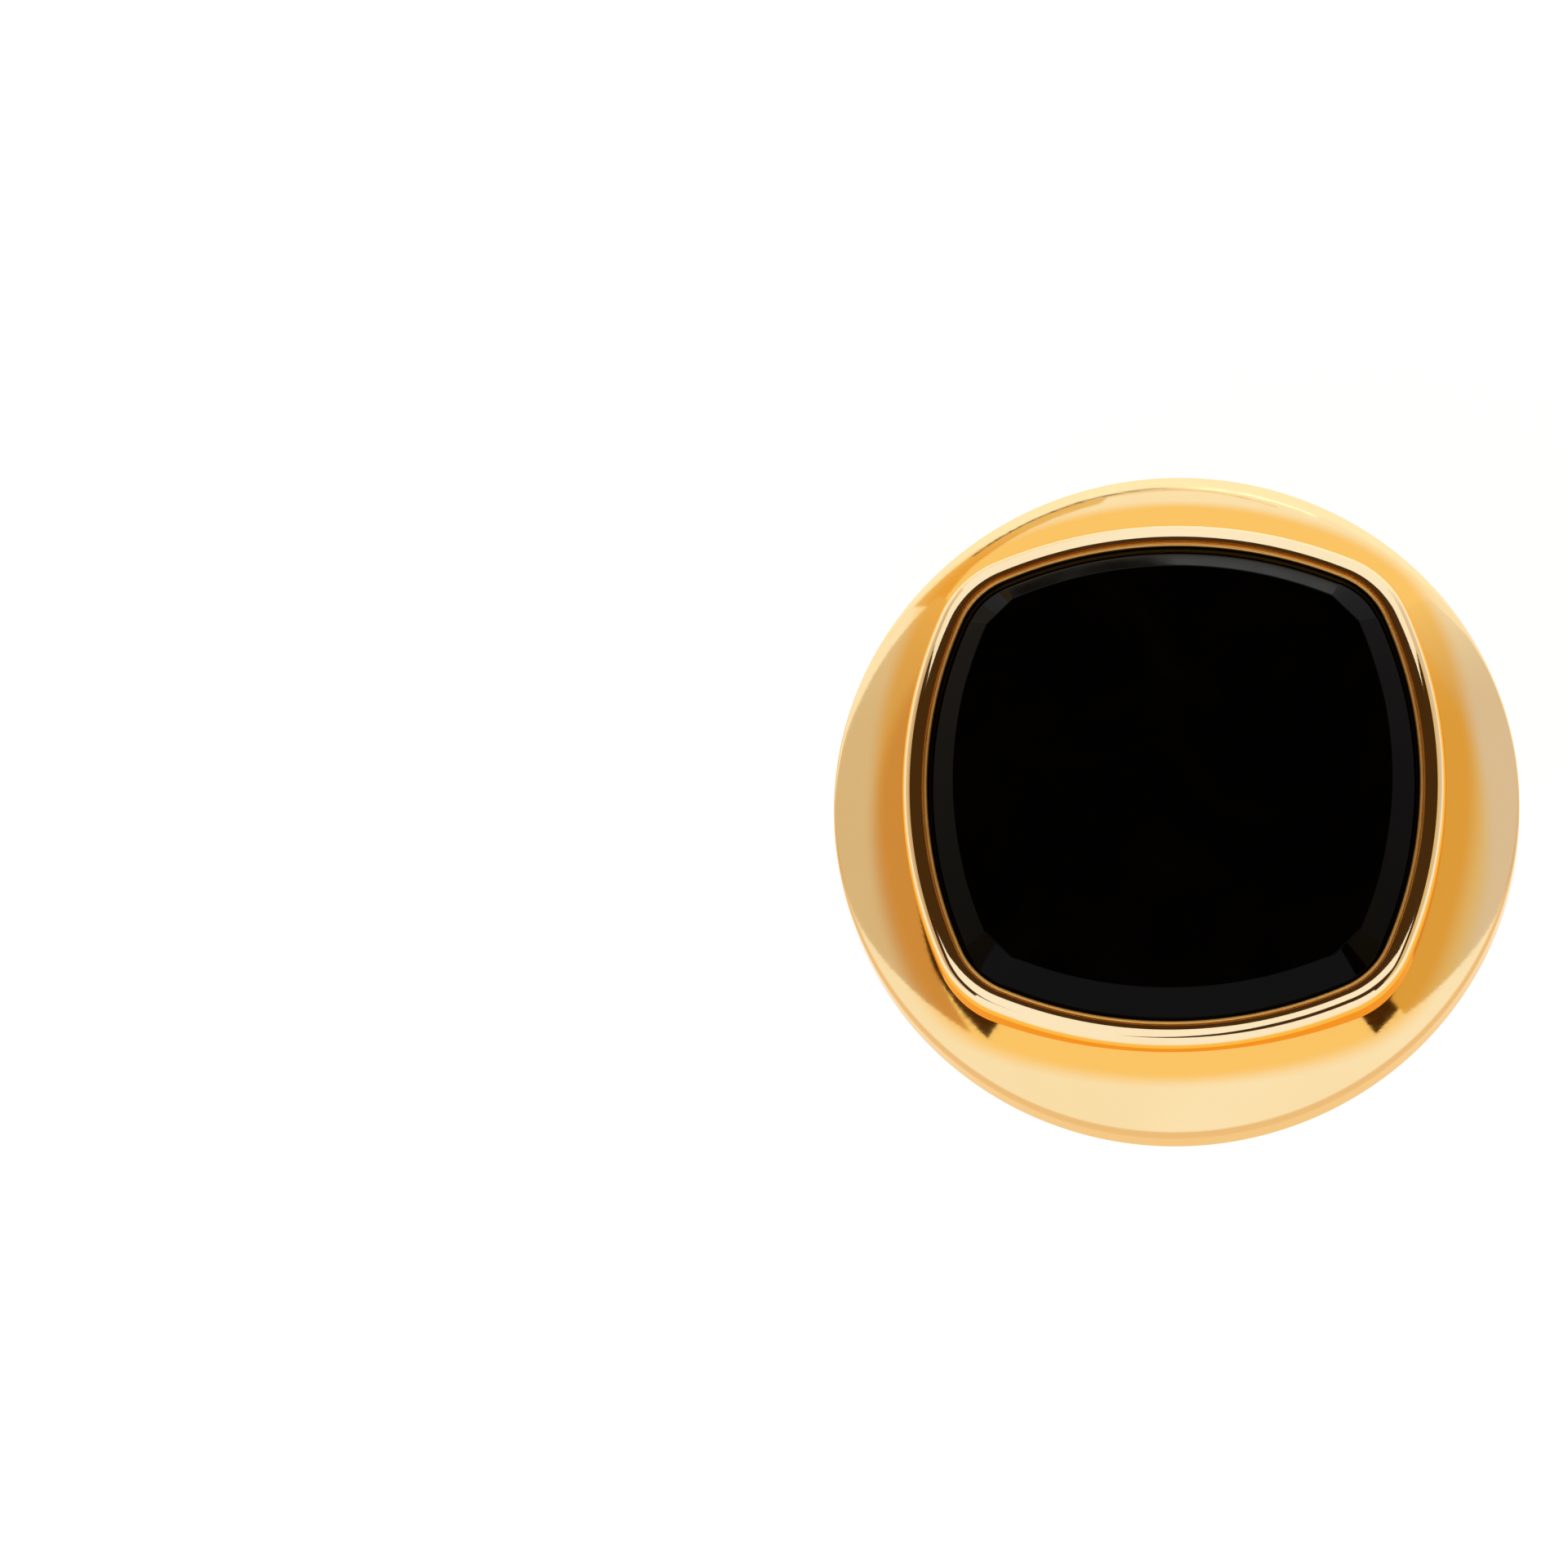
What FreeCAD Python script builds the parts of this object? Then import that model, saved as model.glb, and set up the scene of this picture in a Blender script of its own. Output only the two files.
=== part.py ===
import FreeCAD, Part
import math
import os

# A round cufflink: a hollow domed gold head that carries a cushion-shaped black stone in a
# raised bezel, and behind it a post with a swivel bar. Sizes are millimetres. The origin is the
# middle of the head's back face, +Z points out of the stone, and the post runs down -Z.

V = FreeCAD.Vector
X_AXIS = V(1, 0, 0)
Y_AXIS = V(0, 1, 0)
Z_AXIS = V(0, 0, 1)

# Outline of the opening over the stone: four bowed sides and four round corners, all tangent
opening_half_side = 7.12
opening_side_radius = 12.5
opening_corner_radius = 2.25

# Domed shell of the head: the band is what shows of it beside the bezel
band_width = 2.08
rim_wall = 0.75
rim_low_z = 0.10
rim_low_break = 0.20
rim_top_z = 1.22
rim_top_round = 0.15
dome_radius = 13.7
dome_sheet = 0.60

# Stone
seat_z = 2.70
stone_girdle = 0.88
stone_bevel = 0.91
stone_lap = 0.13
stone_fit = 0.02

# Bezel and the strip inside it that bears the stone
bezel_wall = 0.65
bezel_shoulder_round = 0.32
lip_edge = 0.08
lip_drop = 0.045
strip_wall = 0.80

# Back plate
plate_thick = 0.80
plate_edge_break = 0.10

# Swivel bar: a slotted tube with a domed plug in each end
pivot_depth = 9.60
swing_room = 1.60
bar_radius = 2.35
bar_wall = 0.50
cap_collar = 0.30
spigot_length = 1.30
slot_play = 0.20

# Bowed spring strip in the floor of the bar
spring_width = 1.20
spring_thick = 0.15
spring_bow = 0.09
spring_seat_play = 0.01
spring_end_play = 0.10

# Post with its flat blade and the tongue that turns on the pin
blade_thick = 1.40
blade_edge_round = 0.15
tongue_flat_play = 0.10
tongue_turn_play = 0.05
peg_margin = 0.04
rivet_lip = 0.70
rivet_thick = 0.45
flare_length = 1.50
flare_sag = 0.30
flare_sink = 0.15
pin_radius = 0.50
pin_play = 0.05

# Sizes that follow: the head
bezel_inner = stone_lap + stone_fit
bezel_outer = bezel_inner + bezel_wall
rim_radius = opening_half_side + bezel_outer + band_width
rim_inner_radius = rim_radius - rim_wall
girdle_z = seat_z + stone_girdle
table_z = girdle_z + stone_bevel
lip_low_z = girdle_z + stone_lap + stone_fit * math.sqrt(2)
lip_top_z = lip_low_z + lip_edge
crest_z = lip_top_z + lip_drop

# Sizes that follow: the bar is as long as can swing behind the head, and its bore, less the
# spring, leaves the room in which the tongue turns
bar_half = pivot_depth - swing_room
barrel_half = bar_half - bar_radius - cap_collar
bore_radius = bar_radius - bar_wall
spring_half = barrel_half - spigot_length - spring_end_play
spring_end_low = math.sqrt(bore_radius ** 2 - (spring_width / 2) ** 2) - spring_seat_play
spring_end_top = spring_end_low - spring_thick
spring_mid_top = spring_end_top - spring_bow
tongue_half = spring_mid_top - tongue_flat_play
tongue_reach = spring_mid_top - tongue_turn_play
tongue_corner = (tongue_half * math.sqrt(2) - tongue_reach) / (math.sqrt(2) - 1)
slot_half = blade_thick / 2 + slot_play
peg_radius = math.hypot(tongue_half, blade_thick / 2) + peg_margin


def at(across, height):
    """A point of a profile drawn in the upright XZ plane."""
    return V(across, 0, height)


def straight(start, end):
    return Part.LineSegment(start, end)


def bow(start, middle, end):
    return Part.Arc(start, middle, end)


def turned_about(centre, radius, degrees):
    """The point of a circle in the XZ plane at an angle above +X."""
    angle = math.radians(degrees)
    return centre + at(radius * math.cos(angle), radius * math.sin(angle))


def face_of(*curves):
    return Part.Face(Part.Wire([curve.toShape() for curve in curves]))


def cushion_arcs():
    """Centre, radius, first and last angle of the eight tangent arcs round the opening."""
    side_centre = opening_half_side - opening_side_radius
    reach = opening_side_radius - opening_corner_radius
    corner_centre = (side_centre + math.sqrt(2 * reach ** 2 - side_centre ** 2)) / 2
    turn = math.degrees(math.atan2(corner_centre, corner_centre - side_centre))
    quarter = (
        (V(side_centre, 0, 0), opening_side_radius, -turn, turn),
        (V(corner_centre, corner_centre, 0), opening_corner_radius, turn, 90 - turn),
    )
    arcs = []
    for angle in (0, 90, 180, 270):
        spin = FreeCAD.Rotation(Z_AXIS, angle)
        for centre, radius, first, last in quarter:
            arcs.append((spin.multVec(centre), radius, first + angle, last + angle))
    return arcs


def cushion_wire(offset, height, flat_corners=False):
    """The opening's outline grown by an offset; flat corners are chords in place of the arcs."""
    edges = []
    for centre, radius, first, last in cushion_arcs():
        circle = Part.Circle(centre + V(0, 0, height), Z_AXIS, radius + offset)
        arc = Part.ArcOfCircle(circle, math.radians(first), math.radians(last))
        if flat_corners and radius == opening_corner_radius:
            arc = straight(arc.StartPoint, arc.EndPoint)
        edges.append(arc.toShape())
    return Part.Wire(edges)


def cushion_prism(offset, low, high):
    return Part.Face(cushion_wire(offset, low)).extrude(V(0, 0, high - low))


def cushion_sweep(section):
    """Turn a section, drawn from the opening's outline outwards, round all eight arcs."""
    stretches = []
    for centre, radius, first, last in cushion_arcs():
        start = section.copy()
        start.translate(V(radius, 0, 0))
        start.rotate(V(), Z_AXIS, first)
        start.translate(centre)
        stretches.append(start.revolve(centre, Z_AXIS, last - first))
    return stretches[0].multiFuse(stretches[1:]).removeSplitter()


# The shell is spun from sheet: a short upright rim with its low edge broken, then a part of a ball
# that is pierced by the bezel. The ball's surface runs on smoothly from the round on the rim's top.
def make_dome_shell():
    top_round = at(rim_radius - rim_top_round, rim_top_z)
    dome_drop = math.sqrt((dome_radius - rim_top_round) ** 2 - top_round.x ** 2)
    dome_centre_z = rim_top_z - dome_drop
    crease_angle = math.degrees(math.atan2(dome_drop, top_round.x))
    crease = turned_about(top_round, rim_top_round, crease_angle)

    def on_dome(radius, across):
        return at(across, dome_centre_z + math.sqrt(radius ** 2 - across ** 2))

    mid_across = (rim_inner_radius + opening_half_side) / 2
    under_radius = dome_radius - dome_sheet
    low_in = at(rim_inner_radius, rim_low_z)
    low_out = at(rim_radius - rim_low_break, rim_low_z)
    wall_low = at(rim_radius, rim_low_z + rim_low_break)
    wall_top = at(rim_radius, rim_top_z)
    dome_end = on_dome(dome_radius, opening_half_side)
    under_end = on_dome(under_radius, opening_half_side)
    under_rim = on_dome(under_radius, rim_inner_radius)
    profile = face_of(
        straight(low_in, low_out),
        straight(low_out, wall_low),
        straight(wall_low, wall_top),
        bow(wall_top, turned_about(top_round, rim_top_round, crease_angle / 2), crease),
        bow(crease, on_dome(dome_radius, mid_across), dome_end),
        straight(dome_end, under_end),
        bow(under_end, on_dome(under_radius, mid_across), under_rim),
        straight(under_rim, low_in),
    )
    shell = profile.revolve(V(), Z_AXIS, 360)
    return shell.cut(cushion_prism(bezel_outer, plate_thick, dome_centre_z + dome_radius))


# The bezel is a wall that stands on the back plate and comes up through the dome. Its outer top
# edge is rounded, and its top runs nearly level to a thin lip that is burnished over the stone.
def make_bezel_frame():
    shoulder = at(bezel_outer - bezel_shoulder_round, crest_z - bezel_shoulder_round)
    foot_out = at(bezel_outer, plate_thick)
    wall_top = at(bezel_outer, shoulder.z)
    crest = at(shoulder.x, crest_z)
    lip_top = at(0, lip_top_z)
    lip_low = at(0, lip_low_z)
    lip_root = at(bezel_inner, lip_low_z - bezel_inner)
    foot_in = at(bezel_inner, plate_thick)
    section = face_of(
        straight(foot_out, wall_top),
        bow(wall_top, turned_about(shoulder, bezel_shoulder_round, 45), crest),
        straight(crest, lip_top),
        straight(lip_top, lip_low),
        straight(lip_low, lip_root),
        straight(lip_root, foot_in),
        straight(foot_in, foot_out),
    )
    return cushion_sweep(section)


# The bearing is a flat strip bent to the inside of the bezel; the stone stands on its top edge.
def make_bearing_strip():
    foot_out = at(bezel_inner, plate_thick)
    seat_out = at(bezel_inner, seat_z)
    seat_in = at(bezel_inner - strip_wall, seat_z)
    foot_in = at(bezel_inner - strip_wall, plate_thick)
    section = face_of(
        straight(foot_out, seat_out),
        straight(seat_out, seat_in),
        straight(seat_in, foot_in),
        straight(foot_in, foot_out),
    )
    return cushion_sweep(section)


# The stone is a flat tablet with an upright girdle and a 45 degree bevel up to the table. The
# table's corners are cut straight, so each corner of the bevel is a small facet.
def make_onyx_tablet():
    girdle = cushion_prism(stone_lap, seat_z, girdle_z)
    bevel_low = cushion_wire(stone_lap, girdle_z)
    bevel_top = cushion_wire(stone_lap - stone_bevel, table_z, flat_corners=True)
    crown = Part.makeLoft([bevel_low, bevel_top], True, True)
    return girdle.fuse(crown).removeSplitter()


# The back plate is a disc let into the rim, with a hole for the post's peg.
def make_back_plate():
    hole_low = at(peg_radius, 0)
    edge_low = at(rim_inner_radius - plate_edge_break, 0)
    edge = at(rim_inner_radius, plate_edge_break)
    edge_top = at(rim_inner_radius, plate_thick)
    hole_top = at(peg_radius, plate_thick)
    profile = face_of(
        straight(hole_low, edge_low),
        straight(edge_low, edge),
        straight(edge, edge_top),
        straight(edge_top, hole_top),
        straight(hole_top, hole_low),
    )
    return profile.revolve(V(), Z_AXIS, 360)


# The post is riveted through the plate. Under the plate it flares in to a flat blade, whose end
# is a tongue that is as deep under the pin as it is wide each side of it, with round corners.
def make_post():
    rivet_top = at(0, plate_thick + rivet_thick)
    rivet_crown = at(peg_radius, rivet_top.z)
    rivet_edge = at(peg_radius + rivet_lip, plate_thick)
    peg_top = at(peg_radius, plate_thick)
    peg_low = at(peg_radius, 0)
    flare_end = at(blade_thick / 2 - flare_sink, -flare_length)
    flare_foot = at(0, -flare_length)
    chord = flare_end - peg_low
    inwards = at(chord.z, -chord.x).normalize()
    flare_middle = peg_low + chord * 0.5 + inwards * flare_sag
    turned = face_of(
        straight(rivet_top, rivet_crown),
        straight(rivet_crown, rivet_edge),
        straight(rivet_edge, peg_top),
        straight(peg_top, peg_low),
        bow(peg_low, flare_middle, flare_end),
        straight(flare_end, flare_foot),
        straight(flare_foot, rivet_top),
    ).revolve(V(), Z_AXIS, 360)

    tip_z = -pivot_depth - tongue_half
    left_round = at(tongue_corner - tongue_half, tip_z + tongue_corner)
    right_round = at(tongue_half - tongue_corner, tip_z + tongue_corner)
    left_top = at(-tongue_half, 0)
    left_low = at(-tongue_half, left_round.z)
    tip_left = at(left_round.x, tip_z)
    tip_right = at(right_round.x, tip_z)
    right_low = at(tongue_half, right_round.z)
    right_top = at(tongue_half, 0)
    side = face_of(
        straight(left_top, left_low),
        bow(left_low, turned_about(left_round, tongue_corner, 225), tip_left),
        straight(tip_left, tip_right),
        bow(tip_right, turned_about(right_round, tongue_corner, 315), right_low),
        straight(right_low, right_top),
        straight(right_top, left_top),
    )
    side.translate(V(0, -blade_thick / 2, 0))
    blade = side.extrude(V(0, blade_thick, 0))
    outline_edges = []
    for edge in blade.Edges:
        box = edge.BoundBox
        if box.YLength < blade_edge_round and box.ZMin < -flare_length:
            outline_edges.append(edge)
    blade = blade.makeFillet(blade_edge_round, outline_edges)
    hole_start = V(0, -blade_thick, -pivot_depth)
    pin_hole = Part.makeCylinder(pin_radius + pin_play, 2 * blade_thick, hole_start, Y_AXIS)
    return turned.fuse(blade).removeSplitter().cut(pin_hole)


def bar_cylinder(radius, half_length):
    return Part.makeCylinder(radius, 2 * half_length, V(-half_length, 0, -pivot_depth), X_AXIS)


def bar_slot(floor):
    """The slot that the blade lies in, open upwards, from a floor measured up from the pin."""
    corner = V(-pivot_depth, -slot_half, floor - pivot_depth)
    return Part.makeBox(2 * pivot_depth, 2 * slot_half, 2 * bar_radius, corner)


def bar_pin():
    start = V(0, -2 * bar_radius, -pivot_depth)
    return Part.makeCylinder(pin_radius, 4 * bar_radius, start, Y_AXIS)


# The bar's middle is a tube, slotted along its whole length on the side towards the head.
def make_toggle_barrel():
    tube = bar_cylinder(bar_radius, barrel_half).cut(bar_cylinder(bore_radius, bar_half))
    return tube.cut(bar_slot(0)).cut(bar_pin())


# Each end plug has a spigot in the tube and a ball nose, and carries the slot on to its tip.
def make_toggle_cap():
    axis = at(0, -pivot_depth)
    nose_centre = axis + at(bar_half - bar_radius, 0)
    spigot_axis = axis + at(barrel_half - spigot_length, 0)
    spigot_end = spigot_axis + at(0, bore_radius)
    spigot_root = axis + at(barrel_half, bore_radius)
    face_edge = axis + at(barrel_half, bar_radius)
    collar_end = nose_centre + at(0, bar_radius)
    nose_tip = axis + at(bar_half, 0)
    profile = face_of(
        straight(spigot_axis, spigot_end),
        straight(spigot_end, spigot_root),
        straight(spigot_root, face_edge),
        straight(face_edge, collar_end),
        bow(collar_end, turned_about(nose_centre, bar_radius, 45), nose_tip),
        straight(nose_tip, spigot_axis),
    )
    plug = profile.revolve(axis, X_AXIS, 360)
    return plug.cut(bar_slot(-tongue_half - slot_play))


# The pin is driven across the tube and dressed flush with its outside.
def make_hinge_pin():
    return bar_pin().common(bar_cylinder(bar_radius, barrel_half))


# The spring is a strip whose ends stand on the bore and whose middle bows up under the tongue.
def make_flat_spring():
    left_top = at(-spring_half, -pivot_depth - spring_end_top)
    middle_top = at(0, -pivot_depth - spring_mid_top)
    right_top = at(spring_half, left_top.z)
    down = at(0, -spring_thick)
    side = face_of(
        bow(left_top, middle_top, right_top),
        straight(right_top, right_top + down),
        bow(right_top + down, middle_top + down, left_top + down),
        straight(left_top + down, left_top),
    )
    side.translate(V(0, -spring_width / 2, 0))
    return side.extrude(V(0, spring_width, 0))


right_cap = make_toggle_cap()
pieces = {
    "dome_shell": make_dome_shell(),
    "bezel_frame": make_bezel_frame(),
    "bearing_strip": make_bearing_strip(),
    "onyx_tablet": make_onyx_tablet(),
    "back_plate": make_back_plate(),
    "post": make_post(),
    "toggle_barrel": make_toggle_barrel(),
    "toggle_cap_left": right_cap.mirror(V(), X_AXIS),
    "toggle_cap_right": right_cap,
    "hinge_pin": make_hinge_pin(),
    "flat_spring": make_flat_spring(),
}

os.makedirs("parts", exist_ok=True)
for node, shape in pieces.items():
    shape.exportStep("parts/" + node + ".step")
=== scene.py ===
import math

import bmesh
import bpy
from mathutils import Matrix, Vector


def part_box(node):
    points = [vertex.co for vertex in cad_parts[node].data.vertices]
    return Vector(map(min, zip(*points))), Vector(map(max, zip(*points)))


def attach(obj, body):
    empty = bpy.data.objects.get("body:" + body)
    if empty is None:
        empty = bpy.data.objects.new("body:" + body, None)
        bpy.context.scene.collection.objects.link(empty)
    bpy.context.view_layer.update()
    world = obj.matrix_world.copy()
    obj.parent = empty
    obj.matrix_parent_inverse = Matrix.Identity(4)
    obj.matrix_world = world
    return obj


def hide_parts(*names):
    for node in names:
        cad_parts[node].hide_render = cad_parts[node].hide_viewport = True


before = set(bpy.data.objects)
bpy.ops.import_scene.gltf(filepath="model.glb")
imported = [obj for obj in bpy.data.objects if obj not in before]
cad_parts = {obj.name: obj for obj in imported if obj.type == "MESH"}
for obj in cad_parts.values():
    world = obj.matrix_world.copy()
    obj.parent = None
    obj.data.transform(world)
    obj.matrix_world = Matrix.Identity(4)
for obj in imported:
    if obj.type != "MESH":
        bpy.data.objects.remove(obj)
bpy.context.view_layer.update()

# Domed shell
# The round front of the head, pressed from gold sheet and turned true: a short upright rim at the
# back, then a band that is part of a ball and rises to the bezel. It is polished to a mirror, with a
# painted reflection of the bezel's gold as a deeper gold round the foot of the bezel.
MM = 0.001
opening_half_side = 7.12
opening_side_radius = 12.5
opening_corner_radius = 2.25
rim_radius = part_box("dome_shell")[1].x / MM
rim_wall = 0.75
rim_low_z = 0.10
rim_low_round = 0.20
rim_top_z = 1.22
rim_top_round = 0.15
dome_radius = 13.7
dome_sheet = 0.60
dome_inner_end = 7.30
dome_cut_offset = 0.45
dome_cut_low_z = 0.8
dome_cut_high_z = 6.0
rim_low_hold = 0.06
rim_top_hold = 0.05
rim_round_steps = 10
dome_steps = 36
dome_under_steps = 12
dome_turn_steps = 384
cut_steps = 12
seam = 0.0005
sharp_degrees = 35.0


def polished_gold(name, rich, pale):
    """Hand-polished yellow gold: a soft change of tone, a faint haze and hairlines of wear."""
    gold = bpy.data.materials.new(name)
    gold.use_nodes = True
    nodes = gold.node_tree.nodes
    links = gold.node_tree.links
    shader = nodes["Principled BSDF"]
    shader.inputs["Metallic"].default_value = 1.0
    shader.inputs["Specular Tint"].default_value = (1.0, 0.88, 0.62, 1.0)
    place = nodes.new("ShaderNodeTexCoord")

    tone = nodes.new("ShaderNodeTexNoise")
    tone.inputs["Scale"].default_value = 170.0
    tone.inputs["Detail"].default_value = 2.0
    links.new(place.outputs["Object"], tone.inputs["Vector"])
    tone_colours = nodes.new("ShaderNodeValToRGB")
    tone_colours.color_ramp.elements[0].position = 0.35
    tone_colours.color_ramp.elements[0].color = (*rich, 1.0)
    tone_colours.color_ramp.elements[1].position = 0.65
    tone_colours.color_ramp.elements[1].color = (*pale, 1.0)
    links.new(tone.outputs["Fac"], tone_colours.inputs["Fac"])
    links.new(tone_colours.outputs["Color"], shader.inputs["Base Color"])

    along_rub = nodes.new("ShaderNodeMapping")
    along_rub.name = "along_rub"
    along_rub.inputs["Rotation"].default_value = (0.3, 0.2, 0.6)
    along_rub.inputs["Scale"].default_value = (220.0, 9000.0, 9000.0)
    links.new(place.outputs["Object"], along_rub.inputs["Vector"])
    hairlines = nodes.new("ShaderNodeTexNoise")
    hairlines.inputs["Scale"].default_value = 1.0
    hairlines.inputs["Detail"].default_value = 2.0
    links.new(along_rub.outputs["Vector"], hairlines.inputs["Vector"])
    haze = nodes.new("ShaderNodeTexNoise")
    haze.inputs["Scale"].default_value = 520.0
    haze.inputs["Detail"].default_value = 4.0
    links.new(place.outputs["Object"], haze.inputs["Vector"])
    wear = nodes.new("ShaderNodeMath")
    wear.operation = "MULTIPLY"
    links.new(haze.outputs["Fac"], wear.inputs[0])
    links.new(hairlines.outputs["Fac"], wear.inputs[1])
    dullness = nodes.new("ShaderNodeMapRange")
    dullness.name = "dullness"
    dullness.inputs["From Min"].default_value = 0.10
    dullness.inputs["From Max"].default_value = 0.45
    dullness.inputs["To Min"].default_value = 0.035
    dullness.inputs["To Max"].default_value = 0.085
    links.new(wear.outputs["Value"], dullness.inputs["Value"])
    links.new(dullness.outputs["Result"], shader.inputs["Roughness"])

    waves = nodes.new("ShaderNodeTexNoise")
    waves.inputs["Scale"].default_value = 240.0
    waves.inputs["Detail"].default_value = 1.0
    links.new(place.outputs["Object"], waves.inputs["Vector"])
    wave_bump = nodes.new("ShaderNodeBump")
    wave_bump.inputs["Strength"].default_value = 1.0
    wave_bump.inputs["Distance"].default_value = 0.000010
    links.new(waves.outputs["Fac"], wave_bump.inputs["Height"])
    line_bump = nodes.new("ShaderNodeBump")
    line_bump.name = "line_bump"
    line_bump.inputs["Strength"].default_value = 1.0
    line_bump.inputs["Distance"].default_value = 0.0000003
    links.new(hairlines.outputs["Fac"], line_bump.inputs["Height"])
    links.new(wave_bump.outputs["Normal"], line_bump.inputs["Normal"])
    links.new(line_bump.outputs["Normal"], shader.inputs["Normal"])
    return gold


def run_to(bm, point, across, height):
    """Draw a profile on in a straight line, in the upright XZ plane."""
    end = bm.verts.new((across, 0.0, height))
    bm.edges.new((point, end))
    return end


def swing_on(bm, point, across, height, degrees, steps):
    """Draw a profile on round a centre; positive degrees turn from up towards outwards."""
    swung = bmesh.ops.spin(
        bm, geom=[point], cent=(across, 0.0, height), axis=(0, 1, 0),
        angle=math.radians(degrees), steps=steps,
    )
    return swung["geom_last"][0]


def turn_round(bm, centre, axis, steps):
    """Turn everything drawn so far once round an axis, as on a lathe."""
    bmesh.ops.spin(
        bm, geom=bm.verts[:] + bm.edges[:], cent=centre, axis=axis,
        angle=math.tau, steps=steps, use_merge=True,
    )


def carry_round_cushion(bm, drawn, side_steps, corner_steps):
    """Carry a section, drawn on +X, round the four bowed sides and four round corners."""
    side_centre = opening_half_side - opening_side_radius
    reach = opening_side_radius - opening_corner_radius
    corner_centre = (side_centre + math.sqrt(2 * reach ** 2 - side_centre ** 2)) / 2
    side_turn = math.atan2(corner_centre, corner_centre - side_centre)
    corner_turn = math.pi / 2 - 2 * side_turn
    start = drawn
    for quarter in range(4):
        spun = Matrix.Rotation(quarter * math.pi / 2, 3, "Z")
        next_spun = Matrix.Rotation((quarter + 1) * math.pi / 2, 3, "Z")
        stretches = (
            (spun @ Vector((side_centre, 0, 0)), side_turn, side_steps),
            (spun @ Vector((corner_centre, corner_centre, 0)), corner_turn, corner_steps),
            (next_spun @ Vector((side_centre, 0, 0)), side_turn, side_steps),
        )
        for centre, angle, steps in stretches:
            carried = bmesh.ops.spin(
                bm, geom=start, cent=centre, axis=(0, 0, 1), angle=angle, steps=steps,
            )
            start = carried["geom_last"]
    bmesh.ops.remove_doubles(bm, verts=bm.verts, dist=seam)


def closed_mesh(name, bm):
    """Close the seams of a drawing in millimetres, turn its faces out and make it a mesh in metres."""
    bmesh.ops.remove_doubles(bm, verts=bm.verts, dist=seam)
    bmesh.ops.recalc_face_normals(bm, faces=bm.faces)
    bmesh.ops.scale(bm, vec=(MM, MM, MM), verts=bm.verts)
    mesh = bpy.data.meshes.new(name)
    bm.to_mesh(mesh)
    bm.free()
    return mesh


def set_down(name, bm, finish):
    """Put a finished drawing in the scene as a piece."""
    mesh = closed_mesh(name, bm)
    mesh.materials.append(finish)
    piece = bpy.data.objects.new(name, mesh)
    bpy.context.collection.objects.link(piece)
    return piece


def keep_result(piece):
    """Keep what a piece's modifiers make as its own mesh, without the slivers that they leave."""
    shaped = piece.evaluated_get(bpy.context.evaluated_depsgraph_get())
    mesh = bpy.data.meshes.new_from_object(shaped)
    bm = bmesh.new()
    bm.from_mesh(mesh)
    bmesh.ops.remove_doubles(bm, verts=bm.verts, dist=seam * MM)
    bmesh.ops.dissolve_degenerate(bm, edges=bm.edges, dist=seam * MM)
    bm.to_mesh(mesh)
    bm.free()
    piece.modifiers.clear()
    piece.data = mesh


def work_with_tool(piece, bm, action, finish=None):
    """Cut a drawn tool away from a piece, or join it on, and keep the result as the piece's mesh.
    The faces that the tool leaves take its finish, if one is given."""
    tool = bpy.data.objects.new("tool", closed_mesh("tool", bm))
    bpy.context.collection.objects.link(tool)
    step = piece.modifiers.new("step", "BOOLEAN")
    step.operation = action
    step.solver = "EXACT"
    step.object = tool
    if finish:
        tool.data.materials.append(finish)
        step.material_mode = "TRANSFER"
    keep_result(piece)
    bpy.data.objects.remove(tool)


def shade_with_creases(piece, degrees):
    """Shade a piece smooth, with a crisp crease wherever two faces meet at more than an angle."""
    piece.data.shade_smooth()
    piece.data.set_sharp_from_angle(angle=math.radians(degrees))


def cushion_tool(offset, low, high):
    """A tool with the stone's outline, grown by an offset, for cutting an opening."""
    bm = bmesh.new()
    corner = bm.verts.new((opening_half_side + offset, 0.0, low))
    carry_round_cushion(bm, [corner], cut_steps, cut_steps)
    floor = bmesh.ops.contextual_create(bm, geom=bm.edges)["faces"]
    risen = bmesh.ops.extrude_face_region(bm, geom=floor, use_keep_orig=True)
    top = [part for part in risen["geom"] if isinstance(part, bmesh.types.BMVert)]
    bmesh.ops.translate(bm, vec=(0, 0, high - low), verts=top)
    return bm


rich_gold = (0.950, 0.720, 0.385)
pale_gold = (0.970, 0.755, 0.425)
dome_gold = polished_gold("dome_gold", rich_gold, pale_gold)
low_round_x = rim_radius - rim_low_round
low_round_z = rim_low_z + rim_low_round
top_round_x = rim_radius - rim_top_round
dome_drop = math.sqrt((dome_radius - rim_top_round) ** 2 - top_round_x ** 2)
dome_centre_z = rim_top_z - dome_drop
crease_angle = math.degrees(math.atan2(dome_drop, top_round_x))
rim_inner = rim_radius - rim_wall
under_radius = dome_radius - dome_sheet
dome_end_angle = math.degrees(math.asin(dome_inner_end / dome_radius))
under_rim_angle = math.degrees(math.asin(rim_inner / under_radius))
dome_bm = bmesh.new()
start = dome_bm.verts.new((rim_inner, 0.0, rim_low_z))
point = run_to(dome_bm, start, low_round_x, rim_low_z)
point = swing_on(dome_bm, point, low_round_x, low_round_z, -90.0, rim_round_steps)
point = run_to(dome_bm, point, rim_radius, low_round_z + rim_low_hold)
point = run_to(dome_bm, point, rim_radius, rim_top_z - rim_top_hold)
point = run_to(dome_bm, point, rim_radius, rim_top_z)
point = swing_on(dome_bm, point, top_round_x, rim_top_z, -crease_angle, rim_round_steps)
dome_turn = crease_angle + dome_end_angle - 90.0
point = swing_on(dome_bm, point, 0.0, dome_centre_z, dome_turn, dome_steps)
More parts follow.
